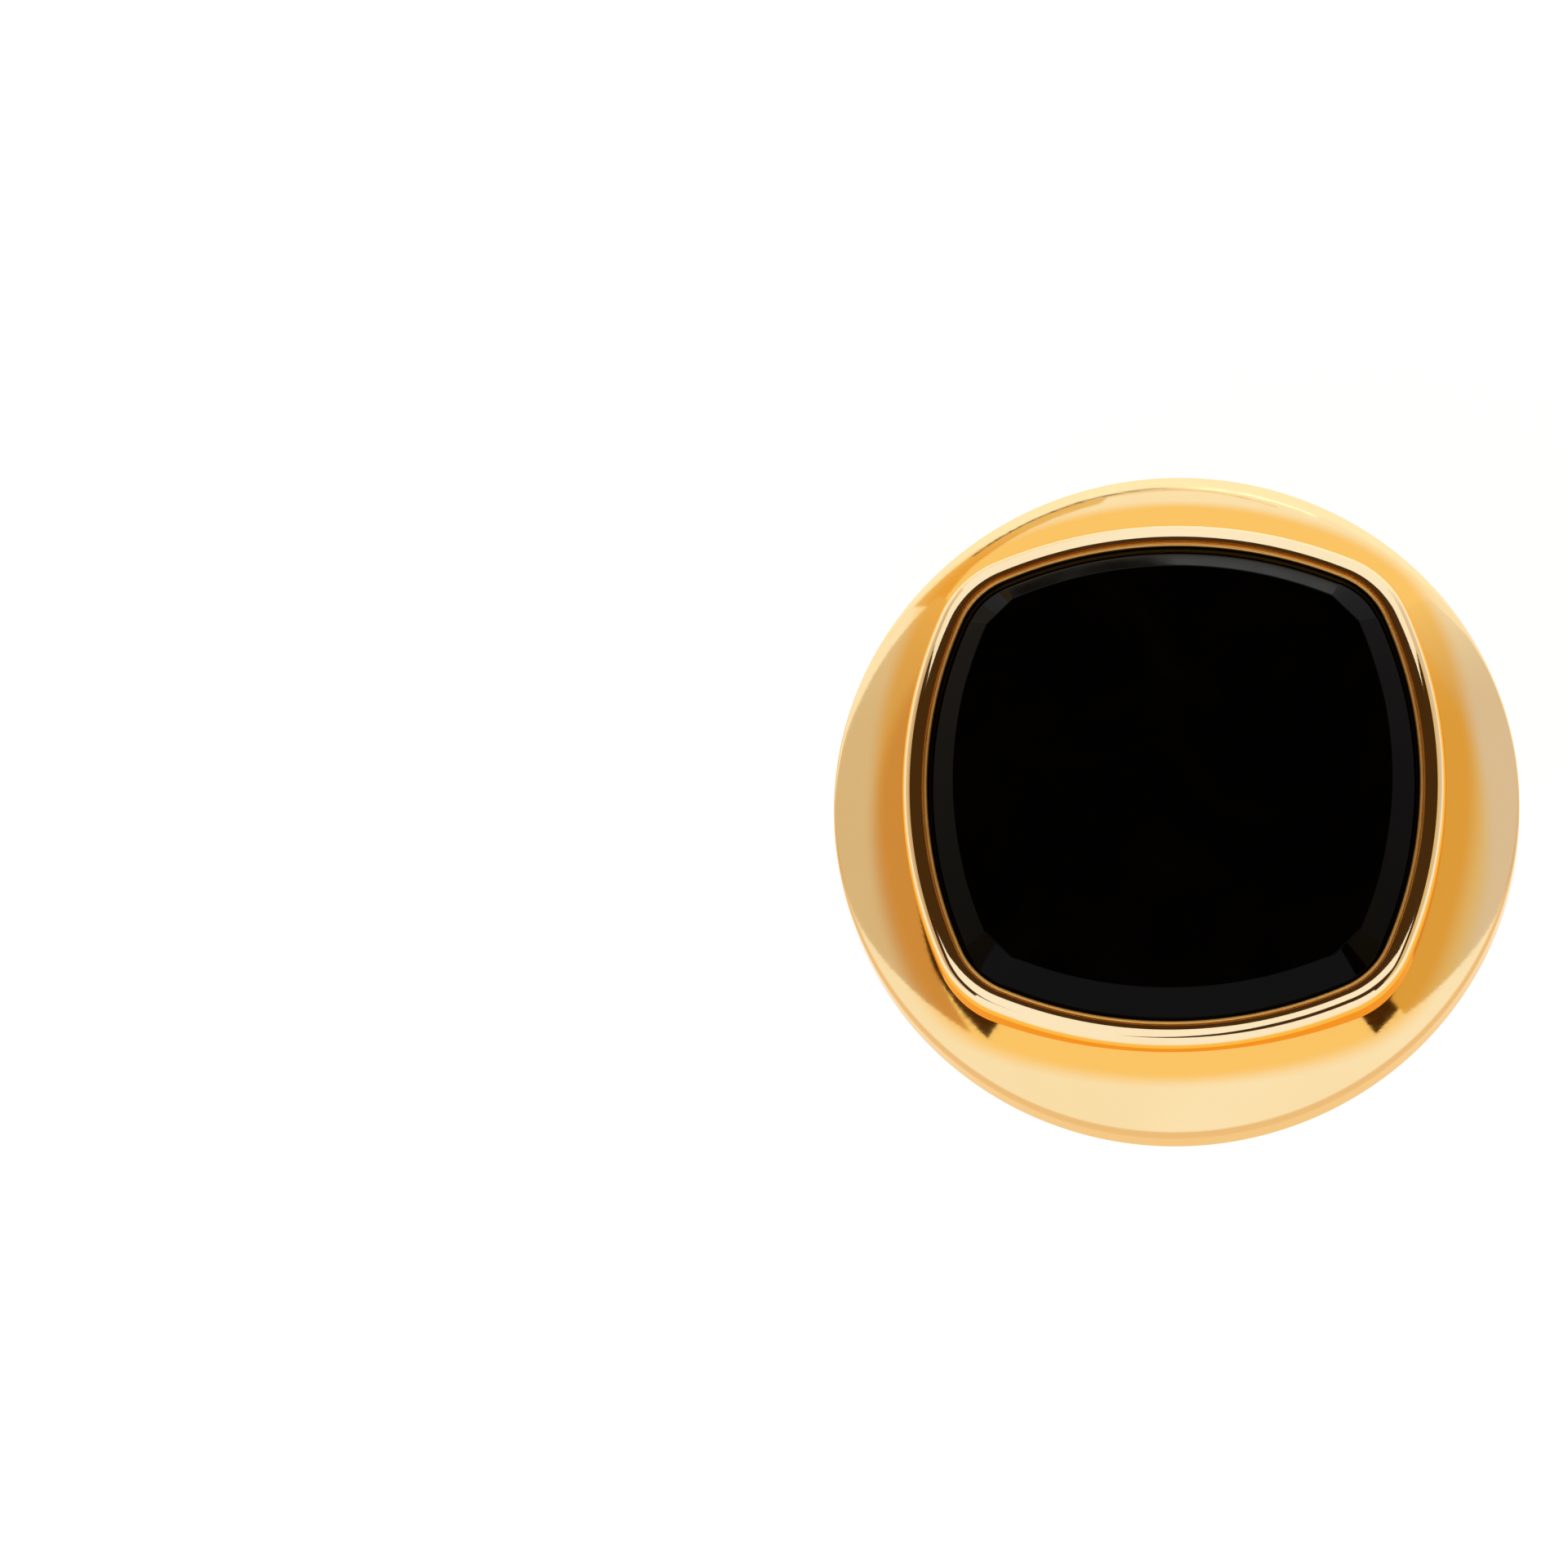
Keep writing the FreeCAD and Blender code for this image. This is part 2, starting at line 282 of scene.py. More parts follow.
under_end_x = under_radius * math.sin(math.radians(dome_end_angle))
under_end_z = dome_centre_z + under_radius * math.cos(math.radians(dome_end_angle))
point = run_to(dome_bm, point, under_end_x, under_end_z)
under_turn = under_rim_angle - dome_end_angle
point = swing_on(dome_bm, point, 0.0, dome_centre_z, under_turn, dome_under_steps)
dome_bm.edges.new((point, start))
turn_round(dome_bm, (0, 0, 0), (0, 0, 1), dome_turn_steps)
dome = set_down("domed_shell", dome_bm, dome_gold)
dome_cut = cushion_tool(dome_cut_offset, dome_cut_low_z, dome_cut_high_z)
work_with_tool(dome, dome_cut, "DIFFERENCE")
shade_with_creases(dome, sharp_degrees)
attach(dome, "head")
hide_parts("dome_shell")


def deepen(gold, share, colour):
    """Paint a deeper colour into a gold where a share, from 0 to 1, is high; it paints reflection and
    shade.
    """
    nodes = gold.node_tree.nodes
    links = gold.node_tree.links
    colour_end = nodes["Principled BSDF"].inputs["Base Color"]
    colour_before = colour_end.links[0].from_socket
    blend = nodes.new("ShaderNodeMix")
    blend.data_type = "RGBA"
    blend.inputs["B"].default_value = (*colour, 1.0)
    links.new(colour_before, blend.inputs["A"])
    links.new(share, blend.inputs["Factor"])
    links.new(blend.outputs["Result"], colour_end)


def soft_step(finish, measure, empty_at, full_at):
    """A share that goes softly from 0 to 1 as a measure goes between two values in millimetres."""
    step = finish.node_tree.nodes.new("ShaderNodeMapRange")
    step.interpolation_type = "SMOOTHSTEP"
    step.inputs["From Min"].default_value = empty_at * MM
    step.inputs["From Max"].default_value = full_at * MM
    finish.node_tree.links.new(measure, step.inputs["Value"])
    return step.outputs["Result"]


# The deeper gold round the bezel is a painted reflection of the bezel's gold in the dome: a margin
# whose edge gets softer towards the left and right, measured from Object coordinates. The upright
# rim gets a painted shade as well, a deeper gold for the shaded table that it mirrors.
painted_reflection_margin = 1.62
painted_reflection_middle = (0.0, 0.12, 0.0)
painted_reflection_corner = 1.60
painted_reflection_blur = 0.20
painted_reflection_blur_spread = 0.016
painted_reflection_colour = (0.965, 0.55, 0.13)
rim_painted_shade = (1.36, 1.29)
rim_painted_shade_slope = (0.0, 0.011, 1.0)
rim_painted_shade_colour = (0.84, 0.50, 0.19)
nodes = dome_gold.node_tree.nodes
links = dome_gold.node_tree.links
dome_place = nodes.new("ShaderNodeTexCoord")
flat_place = nodes.new("ShaderNodeVectorMath")
flat_place.operation = "MULTIPLY"
flat_place.inputs[1].default_value = (1.0, 1.0, 0.0)
links.new(dome_place.outputs["Object"], flat_place.inputs[0])
margin_place = nodes.new("ShaderNodeVectorMath")
margin_place.operation = "SUBTRACT"
margin_place.inputs[1].default_value = Vector(painted_reflection_middle) * MM
links.new(flat_place.outputs["Vector"], margin_place.inputs[0])
folded_place = nodes.new("ShaderNodeVectorMath")
folded_place.operation = "ABSOLUTE"
links.new(margin_place.outputs["Vector"], folded_place.inputs[0])
side_reaches = []
side_offset = opening_half_side - opening_side_radius
for side_centre in ((side_offset, 0, 0), (0, side_offset, 0)):
    side_reach = nodes.new("ShaderNodeVectorMath")
    side_reach.operation = "DISTANCE"
    side_reach.inputs[1].default_value = Vector(side_centre) * MM
    links.new(folded_place.outputs["Vector"], side_reach.inputs[0])
    side_reaches.append(side_reach.outputs["Value"])
cushion_reach = nodes.new("ShaderNodeMath")
cushion_reach.operation = "SMOOTH_MAX"
cushion_reach.inputs[2].default_value = painted_reflection_corner * MM
links.new(side_reaches[0], cushion_reach.inputs[0])
links.new(side_reaches[1], cushion_reach.inputs[1])
painted_reflection_edge = opening_side_radius + painted_reflection_margin
painted_reflection_share = soft_step(dome_gold, cushion_reach.outputs["Value"], painted_reflection_edge, painted_reflection_edge)
folded_parts = nodes.new("ShaderNodeSeparateXYZ")
links.new(folded_place.outputs["Vector"], folded_parts.inputs["Vector"])
for limit, turn in (("From Min", 1.0), ("From Max", -1.0)):
    blur_end = nodes.new("ShaderNodeMath")
    blur_end.operation = "MULTIPLY_ADD"
    blur_end.inputs[1].default_value = turn * painted_reflection_blur_spread
    blur_end.inputs[2].default_value = (painted_reflection_edge + turn * painted_reflection_blur) * MM
    links.new(folded_parts.outputs["X"], blur_end.inputs[0])
    links.new(blur_end.outputs["Value"], painted_reflection_share.node.inputs[limit])
# Paint the reflection margin, a deeper gold, into the dome's colour.
deepen(dome_gold, painted_reflection_share, painted_reflection_colour)
# Painted shade: below a plane tilted from front to back, the rim takes a browner gold, for the shaded
# table it mirrors.
rim_painted_shade_height = nodes.new("ShaderNodeVectorMath")
rim_painted_shade_height.operation = "DOT_PRODUCT"
rim_painted_shade_height.inputs[1].default_value = rim_painted_shade_slope
links.new(dome_place.outputs["Object"], rim_painted_shade_height.inputs[0])
deepen(dome_gold, soft_step(dome_gold, rim_painted_shade_height.outputs["Value"], *rim_painted_shade), rim_painted_shade_colour)

# Bezel
# A strip of gold bent to the stone's cushion outline, soldered on the back plate and standing up
# through the dome. Its top is rounded over, and inside a fine engraved groove a narrow bead is
# burnished down on the edge of the stone.
plate_thick = 0.80
bezel_inner = 0.15
bezel_outer = 0.77
crown_round = 0.55
bezel_crest_z = 3.863
groove_out = 0.175
groove_z = 3.72
bead_round = 0.066
bead_z = 3.745
bead_root = 0.17
lip_low_z = 3.735
crown_steps = 28
bead_steps = 16
bezel_side_steps = 24
bezel_corner_steps = 24
# Painted reflection: below a height, the bezel's wall and the foot of its crown take a deep orange
# gold, for the dome's gold mirrored in them.
wall_painted_reflection = (3.64, 3.56)
wall_painted_reflection_colour = (0.94, 0.475, 0.055)
bezel_rich = (0.96, 0.76, 0.46)
bezel_pale = (0.98, 0.80, 0.52)
# Painted reflection: the bead's gold is a deep orange, for the gold round it mirrored in the bead.
bead_painted_reflection_rich = (1.0, 0.52, 0.12)
bead_painted_reflection_pale = (1.0, 0.56, 0.15)
bezel_gold = polished_gold("bezel_gold", bezel_rich, bezel_pale)
nodes = bezel_gold.node_tree.nodes
bezel_place = nodes.new("ShaderNodeTexCoord")
bezel_height = nodes.new("ShaderNodeSeparateXYZ")
bezel_gold.node_tree.links.new(bezel_place.outputs["Object"], bezel_height.inputs["Vector"])
deepen(bezel_gold, soft_step(bezel_gold, bezel_height.outputs["Z"], *wall_painted_reflection), wall_painted_reflection_colour)
bead_reflection_gold = polished_gold("bead_reflection_gold", bead_painted_reflection_rich, bead_painted_reflection_pale)
bead_dullness = bead_reflection_gold.node_tree.nodes["dullness"]
bead_dullness.inputs["To Min"].default_value = 0.40
bead_dullness.inputs["To Max"].default_value = 0.46
bead_reflection_gold.node_tree.nodes["line_bump"].inputs["Strength"].default_value = 0.05

crown_x = opening_half_side + bezel_outer - crown_round
crown_z = bezel_crest_z - crown_round
crown_inner_turn = math.degrees(math.asin((crown_x - opening_half_side - groove_out) / crown_round))
bezel_bm = bmesh.new()
start = bezel_bm.verts.new((opening_half_side + bezel_outer, 0.0, plate_thick))
point = run_to(bezel_bm, start, opening_half_side + bezel_outer, crown_z)
point = swing_on(bezel_bm, point, crown_x, crown_z, -90.0 - crown_inner_turn, crown_steps)
point = run_to(bezel_bm, point, opening_half_side + bezel_inner, groove_z)
point = run_to(bezel_bm, point, opening_half_side + bezel_inner, plate_thick)
bezel_bm.edges.new((point, start))
bezel_section = bezel_bm.verts[:] + bezel_bm.edges[:]
carry_round_cushion(bezel_bm, bezel_section, bezel_side_steps, bezel_corner_steps)

bead_bm = bmesh.new()
start = bead_bm.verts.new((opening_half_side + bead_root, 0.0, bead_z - bead_round))
point = run_to(bead_bm, start, opening_half_side + bead_root, groove_z)
point = run_to(bead_bm, point, opening_half_side + 2 * bead_round, groove_z)
point = run_to(bead_bm, point, opening_half_side + 2 * bead_round, bead_z)
point = swing_on(bead_bm, point, opening_half_side + bead_round, bead_z, -180.0, bead_steps)
point = run_to(bead_bm, point, opening_half_side, lip_low_z)
point = run_to(bead_bm, point, opening_half_side + bead_round, bead_z - bead_round)
bead_bm.edges.new((point, start))
bead_section = bead_bm.verts[:] + bead_bm.edges[:]
carry_round_cushion(bead_bm, bead_section, bezel_side_steps, bezel_corner_steps)
for face in bead_bm.faces:
    face.material_index = 1
bead_mesh = bpy.data.meshes.new("bead")
bead_bm.to_mesh(bead_mesh)
bead_bm.free()
bezel_bm.from_mesh(bead_mesh)
bpy.data.meshes.remove(bead_mesh)
bezel = set_down("bezel", bezel_bm, bezel_gold)
bezel.data.materials.append(bead_reflection_gold)
shade_with_creases(bezel, sharp_degrees)
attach(bezel, "head")
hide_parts("bezel_frame")

# Bearing strip
# A second strip of gold inside the bezel, whose top edge the stone stands on. It is closed in
# under the stone, so its CAD solid stays and only gets the gold.
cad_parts["bearing_strip"].data.materials.clear()
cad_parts["bearing_strip"].data.materials.append(bezel_gold)

# Stone
# A flat tablet of black onyx, cut to the cushion outline: an upright girdle in the bezel, a
# bevel all round, and a flat polished table whose corners are cut straight, which leaves a small
# facet at each corner of the bevel.
stone_lap = 0.13
seat_z = 2.70
girdle_z = 3.58
table_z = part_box("onyx_tablet")[1].z / MM
stone_side_steps = 20
stone_corner_steps = 12
facet_edge = 0.025
facet_edge_steps = 3
facet_degrees = 6.0
onyx = bpy.data.materials.new("black_onyx")
onyx.use_nodes = True
onyx_nodes = onyx.node_tree.nodes
onyx_links = onyx.node_tree.links
onyx_shader = onyx_nodes["Principled BSDF"]
onyx_shader.inputs["IOR"].default_value = 1.16
onyx_place = onyx_nodes.new("ShaderNodeTexCoord")
onyx_bands = onyx_nodes.new("ShaderNodeTexNoise")
onyx_bands.inputs["Scale"].default_value = 300.0
onyx_bands.inputs["Detail"].default_value = 3.0
onyx_bands.inputs["Distortion"].default_value = 1.5
onyx_links.new(onyx_place.outputs["Object"], onyx_bands.inputs["Vector"])
onyx_colours = onyx_nodes.new("ShaderNodeValToRGB")
onyx_colours.color_ramp.elements[0].position = 0.40
onyx_colours.color_ramp.elements[0].color = (0.0005, 0.0004, 0.0004, 1.0)
onyx_colours.color_ramp.elements[1].position = 0.75
onyx_colours.color_ramp.elements[1].color = (0.0014, 0.0011, 0.0010, 1.0)
onyx_links.new(onyx_bands.outputs["Fac"], onyx_colours.inputs["Fac"])
onyx_links.new(onyx_colours.outputs["Color"], onyx_shader.inputs["Base Color"])
onyx_polish = onyx_nodes.new("ShaderNodeTexNoise")
onyx_polish.inputs["Scale"].default_value = 900.0
onyx_polish.inputs["Detail"].default_value = 4.0
onyx_links.new(onyx_place.outputs["Object"], onyx_polish.inputs["Vector"])
onyx_dullness = onyx_nodes.new("ShaderNodeMapRange")
onyx_dullness.inputs["From Min"].default_value = 0.3
onyx_dullness.inputs["From Max"].default_value = 0.7
onyx_dullness.inputs["To Min"].default_value = 0.020
onyx_dullness.inputs["To Max"].default_value = 0.055
onyx_links.new(onyx_polish.outputs["Fac"], onyx_dullness.inputs["Value"])
onyx_links.new(onyx_dullness.outputs["Result"], onyx_shader.inputs["Roughness"])

stone_bm = bmesh.new()
loops = {}
for name, offset, height in (
    ("foot", stone_lap, seat_z), ("girdle", stone_lap, girdle_z),
    ("table", stone_lap + girdle_z - table_z, table_z),
):
    ring_bm = bmesh.new()
    corner = ring_bm.verts.new((opening_half_side + offset, 0.0, height))
    carry_round_cushion(ring_bm, [corner], stone_side_steps, stone_corner_steps)
    ring_mesh = bpy.data.meshes.new(name)
    ring_bm.to_mesh(ring_mesh)
    ring_bm.free()
    before = len(stone_bm.edges)
    stone_bm.from_mesh(ring_mesh)
    stone_bm.edges.ensure_lookup_table()
    loops[name] = stone_bm.edges[before:]
    bpy.data.meshes.remove(ring_mesh)
stone_bm.verts.ensure_lookup_table()
ring_count = len(loops["table"])
table_verts = stone_bm.verts[2 * ring_count:]
quarter_count = ring_count // 4
for quarter in range(4):
    first = quarter * quarter_count + stone_side_steps
    chord_start = table_verts[first].co.copy()
    chord_end = table_verts[first + stone_corner_steps].co.copy()
    for step in range(1, stone_corner_steps):
        table_verts[first + step].co = chord_start.lerp(chord_end, step / stone_corner_steps)
bmesh.ops.bridge_loops(stone_bm, edges=loops["foot"] + loops["girdle"])
bmesh.ops.bridge_loops(stone_bm, edges=loops["girdle"] + loops["table"])
bmesh.ops.contextual_create(stone_bm, geom=loops["foot"])
bmesh.ops.contextual_create(stone_bm, geom=loops["table"])
bmesh.ops.bevel(
    stone_bm, geom=loops["table"] + loops["girdle"], offset=facet_edge,
    segments=facet_edge_steps, profile=0.5, affect="EDGES", material=-1, clamp_overlap=True,
)
stone = set_down("onyx_stone", stone_bm, onyx)
shade_with_creases(stone, facet_degrees)
flat_table = stone.modifiers.new("flat_table", "WEIGHTED_NORMAL")
flat_table.keep_sharp = True
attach(stone, "head")
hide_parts("onyx_tablet")

# Back plate
# A gold disc let into the rim from behind to close the hollow head. Its edge is broken, and its
# face keeps the fine rings of the lathe under the polish.
plate_edge_break = 0.10
plate_edge_steps = 6
plate_turn_steps = 256
peg_radius = 1.605
lathe_ring_scale = 1300.0
lathe_ring_depth = 0.0000006
plate_gold = polished_gold("plate_gold", rich_gold, pale_gold)
nodes = plate_gold.node_tree.nodes
links = plate_gold.node_tree.links
plate_place = nodes.new("ShaderNodeTexCoord")
lathe_rings = nodes.new("ShaderNodeTexWave")
lathe_rings.wave_type = "RINGS"
lathe_rings.rings_direction = "Z"
lathe_rings.inputs["Scale"].default_value = lathe_ring_scale
lathe_rings.inputs["Distortion"].default_value = 0.6
links.new(plate_place.outputs["Object"], lathe_rings.inputs["Vector"])
ring_bump = nodes.new("ShaderNodeBump")
ring_bump.inputs["Strength"].default_value = 1.0
ring_bump.inputs["Distance"].default_value = lathe_ring_depth
links.new(lathe_rings.outputs["Fac"], ring_bump.inputs["Height"])
links.new(nodes["line_bump"].outputs["Normal"], ring_bump.inputs["Normal"])
links.new(ring_bump.outputs["Normal"], nodes["Principled BSDF"].inputs["Normal"])
plate_bm = bmesh.new()
start = plate_bm.verts.new((peg_radius, 0.0, 0.0))
plate_edge_x = rim_inner - plate_edge_break
point = run_to(plate_bm, start, plate_edge_x, 0.0)
point = swing_on(plate_bm, point, plate_edge_x, plate_edge_break, -90.0, plate_edge_steps)
point = run_to(plate_bm, point, rim_inner, plate_thick)
point = run_to(plate_bm, point, peg_radius, plate_thick)
plate_bm.edges.new((point, start))
turn_round(plate_bm, (0, 0, 0), (0, 0, 1), plate_turn_steps)
plate = set_down("back_disc", plate_bm, plate_gold)
shade_with_creases(plate, sharp_degrees)
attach(plate, "head")
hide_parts("back_plate")

# Post
# Forged from gold wire: a rivet head inside the plate, a foot that flares in under it and a flat
# blade, whose rounded tongue turns on the pin inside the bar.
pivot_depth = 9.60
rivet_thick = 0.45
rivet_lip = 0.70
flare_length = 1.50
flare_end_radius = 0.55
flare_sag = 0.30
blade_half_width = 1.40
blade_half_thick = 0.70
blade_edge_round = 0.15
tongue_corner = 1.28
pin_hole_radius = 0.55
blade_top_z = -0.02
level_within = 0.01
flare_steps = 16
post_turn_steps = 96
tongue_steps = 16
blade_edge_steps = 5
hole_steps = 48
fine_sharp_degrees = 30.0
post_gold = polished_gold("post_gold", rich_gold, pale_gold)
flare_run = peg_radius - flare_end_radius
flare_chord = math.hypot(flare_run, flare_length)
flare_radius = (flare_chord ** 2 / 4 + flare_sag ** 2) / (2 * flare_sag)
flare_tilt = math.atan2(flare_length, flare_run)
flare_reach = flare_radius - flare_sag
flare_x = (peg_radius + flare_end_radius) / 2 + flare_reach * math.sin(flare_tilt)
flare_z = -flare_length / 2 - flare_reach * math.cos(flare_tilt)
flare_angle = 2 * math.degrees(math.asin(flare_chord / 2 / flare_radius))
post_bm = bmesh.new()
start = post_bm.verts.new((0.0, 0.0, plate_thick + rivet_thick))
point = run_to(post_bm, start, peg_radius, plate_thick + rivet_thick)
point = run_to(post_bm, point, peg_radius + rivet_lip, plate_thick)
point = run_to(post_bm, point, peg_radius, plate_thick)
point = run_to(post_bm, point, peg_radius, 0.0)
point = swing_on(post_bm, point, flare_x, flare_z, -flare_angle, flare_steps)
point = run_to(post_bm, point, 0.0, -flare_length)
turn_round(post_bm, (0, 0, 0), (0, 0, 1), post_turn_steps)
post = set_down("post_and_tongue", post_bm, post_gold)

tip_z = -pivot_depth - blade_half_width
corner_x = blade_half_width - tongue_corner
corner_z = tip_z + tongue_corner
blade_bm = bmesh.new()
start = blade_bm.verts.new((-blade_half_width, 0.0, blade_top_z))
point = run_to(blade_bm, start, -blade_half_width, corner_z)
point = swing_on(blade_bm, point, -corner_x, corner_z, -90.0, tongue_steps)
point = run_to(blade_bm, point, corner_x, tip_z)
point = swing_on(blade_bm, point, corner_x, corner_z, -90.0, tongue_steps)
point = run_to(blade_bm, point, blade_half_width, blade_top_z)
blade_bm.edges.new((point, start))
blade_face = bmesh.ops.contextual_create(blade_bm, geom=blade_bm.edges)["faces"]
bmesh.ops.translate(blade_bm, vec=(0, -blade_half_thick, 0), verts=blade_bm.verts)
blade_other = bmesh.ops.extrude_face_region(blade_bm, geom=blade_face, use_keep_orig=True)
blade_verts = [part for part in blade_other["geom"] if isinstance(part, bmesh.types.BMVert)]
bmesh.ops.translate(blade_bm, vec=(0, 2 * blade_half_thick, 0), verts=blade_verts)
outline = []
for edge in blade_bm.edges:
    near, far = edge.verts
    if abs(near.co.y - far.co.y) < level_within:
        outline.append(edge)
bmesh.ops.bevel(
    blade_bm, geom=outline, offset=blade_edge_round, segments=blade_edge_steps, profile=0.5,
    affect="EDGES", material=-1, clamp_overlap=True,
)
work_with_tool(post, blade_bm, "UNION")
hole_bm = bmesh.new()
bmesh.ops.create_cone(
    hole_bm, cap_ends=True, segments=hole_steps, radius1=pin_hole_radius, radius2=pin_hole_radius,
    depth=4 * blade_half_thick, matrix=Matrix.Rotation(math.pi / 2, 4, "X"),
)
bmesh.ops.translate(hole_bm, vec=(0, 0, -pivot_depth), verts=hole_bm.verts)
work_with_tool(post, hole_bm, "DIFFERENCE")
shade_with_creases(post, fine_sharp_degrees)
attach(post, "head")
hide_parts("post")

# Bar's barrel
# A drawn gold tube across the end of the post, slotted along its length on the side towards the
# head so that it can turn in line with the blade. The slot keeps the dull face that the cutter
# left, the outside is polished, and the edges are broken with a file.
bar_radius = 2.35
bore_radius = 1.85
barrel_half = 5.35
slot_half = 0.90
pin_radius = 0.50
bar_edge_break = 0.05
bar_edge_steps = 3
bar_edge_degrees = 40.0
bar_turn_steps = 160
bar_gold = polished_gold("bar_gold", rich_gold, pale_gold)
milled_gold = polished_gold("milled_gold", rich_gold, pale_gold)
milled_dullness = milled_gold.node_tree.nodes["dullness"]
milled_dullness.inputs["To Min"].default_value = 0.34
milled_dullness.inputs["To Max"].default_value = 0.50
milled_gold.node_tree.nodes["along_rub"].inputs["Rotation"].default_value = (0.0, 0.0, 0.0)
milled_gold.node_tree.nodes["line_bump"].inputs["Distance"].default_value = 0.000003
barrel_bm = bmesh.new()
start = barrel_bm.verts.new((-barrel_half, 0.0, bore_radius - pivot_depth))
point = run_to(barrel_bm, start, -barrel_half, bar_radius - pivot_depth)
point = run_to(barrel_bm, point, barrel_half, bar_radius - pivot_depth)
point = run_to(barrel_bm, point, barrel_half, bore_radius - pivot_depth)
barrel_bm.edges.new((point, start))
turn_round(barrel_bm, (0, 0, -pivot_depth), (1, 0, 0), bar_turn_steps)
barrel = set_down("bar_barrel", barrel_bm, bar_gold)


def slot_tool(floor):
    """A square bar that cuts the slot for the blade, from a floor above or below the pin's height."""
    bm = bmesh.new()
    bmesh.ops.create_cube(bm, size=1.0)
    bmesh.ops.scale(bm, vec=(4 * barrel_half, 2 * slot_half, 2 * bar_radius), verts=bm.verts)
    bmesh.ops.translate(bm, vec=(0, 0, floor + bar_radius - pivot_depth), verts=bm.verts)
    return bm


def pin_tool():
    """A round bar the size of the hinge pin, across the bar."""
    bm = bmesh.new()
    bmesh.ops.create_cone(
        bm, cap_ends=True, segments=hole_steps, radius1=pin_radius, radius2=pin_radius,
        depth=4 * bar_radius, matrix=Matrix.Rotation(math.pi / 2, 4, "X"),
    )
    bmesh.ops.translate(bm, vec=(0, 0, -pivot_depth), verts=bm.verts)
    return bm


def break_edges(piece, width):
    """Round every sharp edge of a piece a little, as a file and buff do."""
    edge_break = piece.modifiers.new("edge_break", "BEVEL")
    edge_break.width = width * MM
    edge_break.segments = bar_edge_steps
    edge_break.limit_method = "ANGLE"
    edge_break.angle_limit = math.radians(bar_edge_degrees)
    edge_break.miter_outer = "MITER_ARC"
    keep_result(piece)


work_with_tool(barrel, slot_tool(0.0), "DIFFERENCE", milled_gold)
work_with_tool(barrel, pin_tool(), "DIFFERENCE")
shade_with_creases(barrel, fine_sharp_degrees)
break_edges(barrel, bar_edge_break)
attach(barrel, "toggle")
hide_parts("toggle_barrel")

# End plugs
# Turned from gold rod: a spigot that is soldered in the barrel, and a ball nose that is slotted
# like the barrel, so the blade can lie in it. The two are alike, one at each end.
spigot_half = 4.05
nose_x = 5.65
plug_slot_floor = -1.60
nose_steps = 24
for name, side in (("bar_plug_left", -1.0), ("bar_plug_right", 1.0)):
    plug_bm = bmesh.new()
    start = plug_bm.verts.new((spigot_half, 0.0, -pivot_depth))
    point = run_to(plug_bm, start, spigot_half, bore_radius - pivot_depth)
    point = run_to(plug_bm, point, barrel_half, bore_radius - pivot_depth)
    point = run_to(plug_bm, point, barrel_half, bar_radius - pivot_depth)
    point = run_to(plug_bm, point, nose_x, bar_radius - pivot_depth)
    point = swing_on(plug_bm, point, nose_x, -pivot_depth, 90.0, nose_steps)
    turn_round(plug_bm, (0, 0, -pivot_depth), (1, 0, 0), bar_turn_steps)
    bmesh.ops.scale(plug_bm, vec=(side, 1.0, 1.0), verts=plug_bm.verts)
    plug = set_down(name, plug_bm, bar_gold)
    work_with_tool(plug, slot_tool(plug_slot_floor), "DIFFERENCE", milled_gold)
    shade_with_creases(plug, fine_sharp_degrees)
    break_edges(plug, bar_edge_break)
    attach(plug, "toggle")
    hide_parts("toggle_cap_left" if side < 0 else "toggle_cap_right")

# Hinge pin
# A steel pin driven across the barrel and through the tongue. Its ends are domed a little where
# they were riveted and dressed.
pin_proud = 0.01
pin_crown_steps = 8
pin_turn_steps = 64
steel = bpy.data.materials.new("satin_steel")
steel.use_nodes = True
steel_nodes = steel.node_tree.nodes
steel_links = steel.node_tree.links
steel_shader = steel_nodes["Principled BSDF"]
steel_shader.inputs["Metallic"].default_value = 1.0
steel_place = steel_nodes.new("ShaderNodeTexCoord")
steel_stretch = steel_nodes.new("ShaderNodeMapping")
steel_stretch.inputs["Scale"].default_value = (600.0, 16000.0, 16000.0)
steel_links.new(steel_place.outputs["Object"], steel_stretch.inputs["Vector"])
steel_lines = steel_nodes.new("ShaderNodeTexNoise")
steel_lines.inputs["Scale"].default_value = 1.0
steel_lines.inputs["Detail"].default_value = 3.0
steel_links.new(steel_stretch.outputs["Vector"], steel_lines.inputs["Vector"])
steel_colours = steel_nodes.new("ShaderNodeValToRGB")
steel_colours.color_ramp.elements[0].position = 0.3
steel_colours.color_ramp.elements[0].color = (0.50, 0.50, 0.51, 1.0)
steel_colours.color_ramp.elements[1].position = 0.7
steel_colours.color_ramp.elements[1].color = (0.66, 0.66, 0.67, 1.0)
steel_links.new(steel_lines.outputs["Fac"], steel_colours.inputs["Fac"])
steel_links.new(steel_colours.outputs["Color"], steel_shader.inputs["Base Color"])
steel_dullness = steel_nodes.new("ShaderNodeMapRange")
steel_dullness.inputs["To Min"].default_value = 0.18
steel_dullness.inputs["To Max"].default_value = 0.36
steel_links.new(steel_lines.outputs["Fac"], steel_dullness.inputs["Value"])
steel_links.new(steel_dullness.outputs["Result"], steel_shader.inputs["Roughness"])

